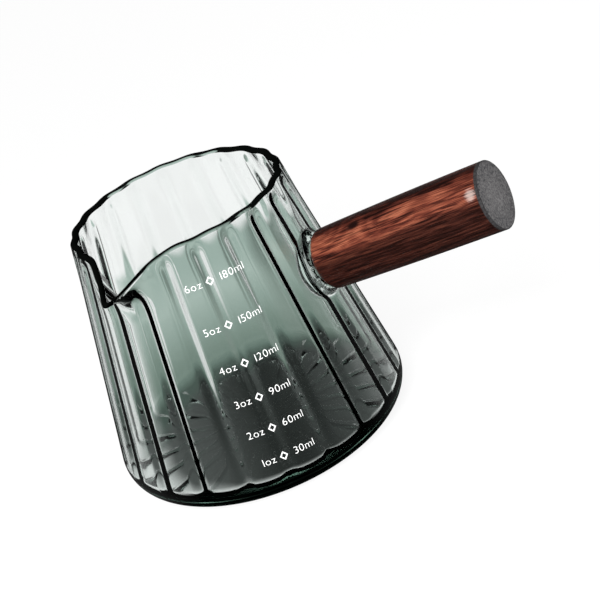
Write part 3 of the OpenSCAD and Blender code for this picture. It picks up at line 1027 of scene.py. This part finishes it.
def floor_shade(finish):
    """What the glass shows of the floor. This isn't the plain floor that the camera sees: it is set for
    the photograph's view. Behind the cup it darkens towards the base, it is darkest under the base, and
    it is pale around. Light that the near wall has turned back is pale from beside the cup and dark from
    before it."""
    place = finish.node("ShaderNodeTexCoord", out="Object")
    ahead = finish.vector("DOT_PRODUCT", place, (cos(VIEW_ANGLE), sin(VIEW_ANGLE), 0)) / MM
    left = finish.vector("DOT_PRODUCT", place, (-sin(VIEW_ANGLE), cos(VIEW_ANGLE), 0)) / MM
    right = left * -1
    away = finish.vector("LENGTH", place) / MM
    beyond = finish.rise(ahead, *SHADE_END).math("MAXIMUM", 1 - finish.rise(ahead, *SHADE_AHEAD))
    outside = finish.rise(left, *SHADE_LEFT).math("MAXIMUM", finish.rise(right, *SHADE_RIGHT))
    outside = outside.math("MAXIMUM", beyond)
    depth, deeper = (
        finish.node("ShaderNodeValToRGB", {"stops": stops}, {0: away / SHADE_REACH})
        for stops in (SHADE_STOPS, RIGHT_STOPS)
    )
    depth = finish.mix(finish.rise(right, *SHADE_TURN), depth, deeper)
    shade = finish.mix(outside, depth, AROUND)
    turned = ray(finish, "Glossy Depth").math("MINIMUM", 1)
    entered = ray(finish, "Transmission Depth").math("MINIMUM", 1)
    far = far_side(finish)
    lit = finish.rise(ahead, *FRONT) * finish.rise(left.math("ABSOLUTE"), *BESIDE)
    shade = finish.mix(turned * (1 - far) * lit, shade, AROUND)
    shade = finish.mix(turned * far * finish.rise(away, *FAR_R), shade, FAR_WHITE)
    middle = (UNDER_MIDDLE[0] * MM, UNDER_MIDDLE[1] * MM, 0)
    from_middle = finish.vector("DISTANCE", place, middle) / MM
    from_band = (left - UNDER_BAND).math("ABSOLUTE")
    under = finish.mix(finish.rise(from_band, *UNDER_FADE), UNDER_TONE, UNDER_EDGE)
    shade = finish.mix(finish.rise(from_middle, *UNDER_R), under, shade)
    table = (1 - turned * (1 - lit) * (1 - far)) * (MIRRORED + entered * (1 - MIRRORED))
    return finish.mix(reflected_dim(finish) * table, BLACK, shade)


def studio_floor():
    """A wide pale square under the cup that keeps its shadow, is white to the camera and shows a shade
    of its own in the glass."""
    corners = np.array([[-1, -1, 0], [1, -1, 0], [1, 1, 0], [-1, 1, 0]]) * FLOOR_HALF
    mesh = bpy.data.meshes.new("studio_floor")
    mesh.from_pydata(((corners - [0, 0, FLOOR_DROP]) * MM).tolist(), [], [[0, 1, 2, 3]])
    floor = bpy.data.objects.new("studio_floor", mesh)
    bpy.context.scene.collection.objects.link(floor)
    finish = new_finish("studio_floor")
    through = finish.node("ShaderNodeEmission", {}, {"Color": floor_shade(finish)})
    pale = finish.node("ShaderNodeBsdfDiffuse", {}, {"Color": FLOOR_PALE})
    white = finish.node("ShaderNodeEmission", {}, {"Color": WHITE, "Strength": FLOOR_LIGHT})
    seen = finish.node("ShaderNodeMixShader", {}, {0: FLOOR_SHADOW, 1: white, 2: pale})
    other = finish.node("ShaderNodeMixShader", {}, {0: in_glass(finish), 1: pale, 2: through})
    camera = ray(finish, "Is Camera Ray")
    shader = finish.node("ShaderNodeMixShader", {}, {0: camera, 1: other, 2: seen})
    mesh.materials.append(finish.surface(shader))


def soft_lamp(name, place, aim, size, power):
    """A square soft box at a place in millimetres, turned to face its aim."""
    data = bpy.data.lights.new(name, "AREA")
    data.size = size * MM
    data.energy = power
    lamp = bpy.data.objects.new(name, data)
    place, aim = np.array(place, float), np.array(aim, float)
    ahead = Vector((aim - place).tolist())
    turn = ahead.to_track_quat("-Z", "Y").to_matrix().to_4x4()
    lamp.matrix_world = Matrix.Translation((place * MM).tolist()) @ turn
    lamp.visible_camera = False
    lamp.visible_transmission = False
    lamp.visible_glossy = False
    bpy.context.scene.collection.objects.link(lamp)


photo_camera()
glass = smoked_glass_finish()
glass_cup(glass)
threaded_stub(glass)
turned_handle(rosewood_finish())
end_disc(speckled_disc_finish())
enamel = moulded_finish("enamel_print", tone(252, 252, 250), tone(238, 239, 238), grain=0.8, roughness=0.3)
for k in range(1, MARKS + 1):
    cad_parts[f"scale_mark_{k}"].data.materials[0] = enamel
scale_words(enamel)
nylon = moulded_finish("nylon", tone(238, 235, 224), tone(222, 218, 204), grain=0.35, roughness=0.45)
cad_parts["thread_bush"].data.materials[0] = nylon
silicone = moulded_finish("silicone", tone(206, 208, 208), tone(186, 189, 190), grain=0.3, roughness=0.5)
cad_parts["seal_washer"].data.materials[0] = silicone

bpy.context.scene.view_settings.view_transform = "Standard"
studio_world()
studio_floor()
soft_lamp("key_lamp", LAMP_PLACE, LAMP_AIM, LAMP_SIZE, LAMP_POWER)
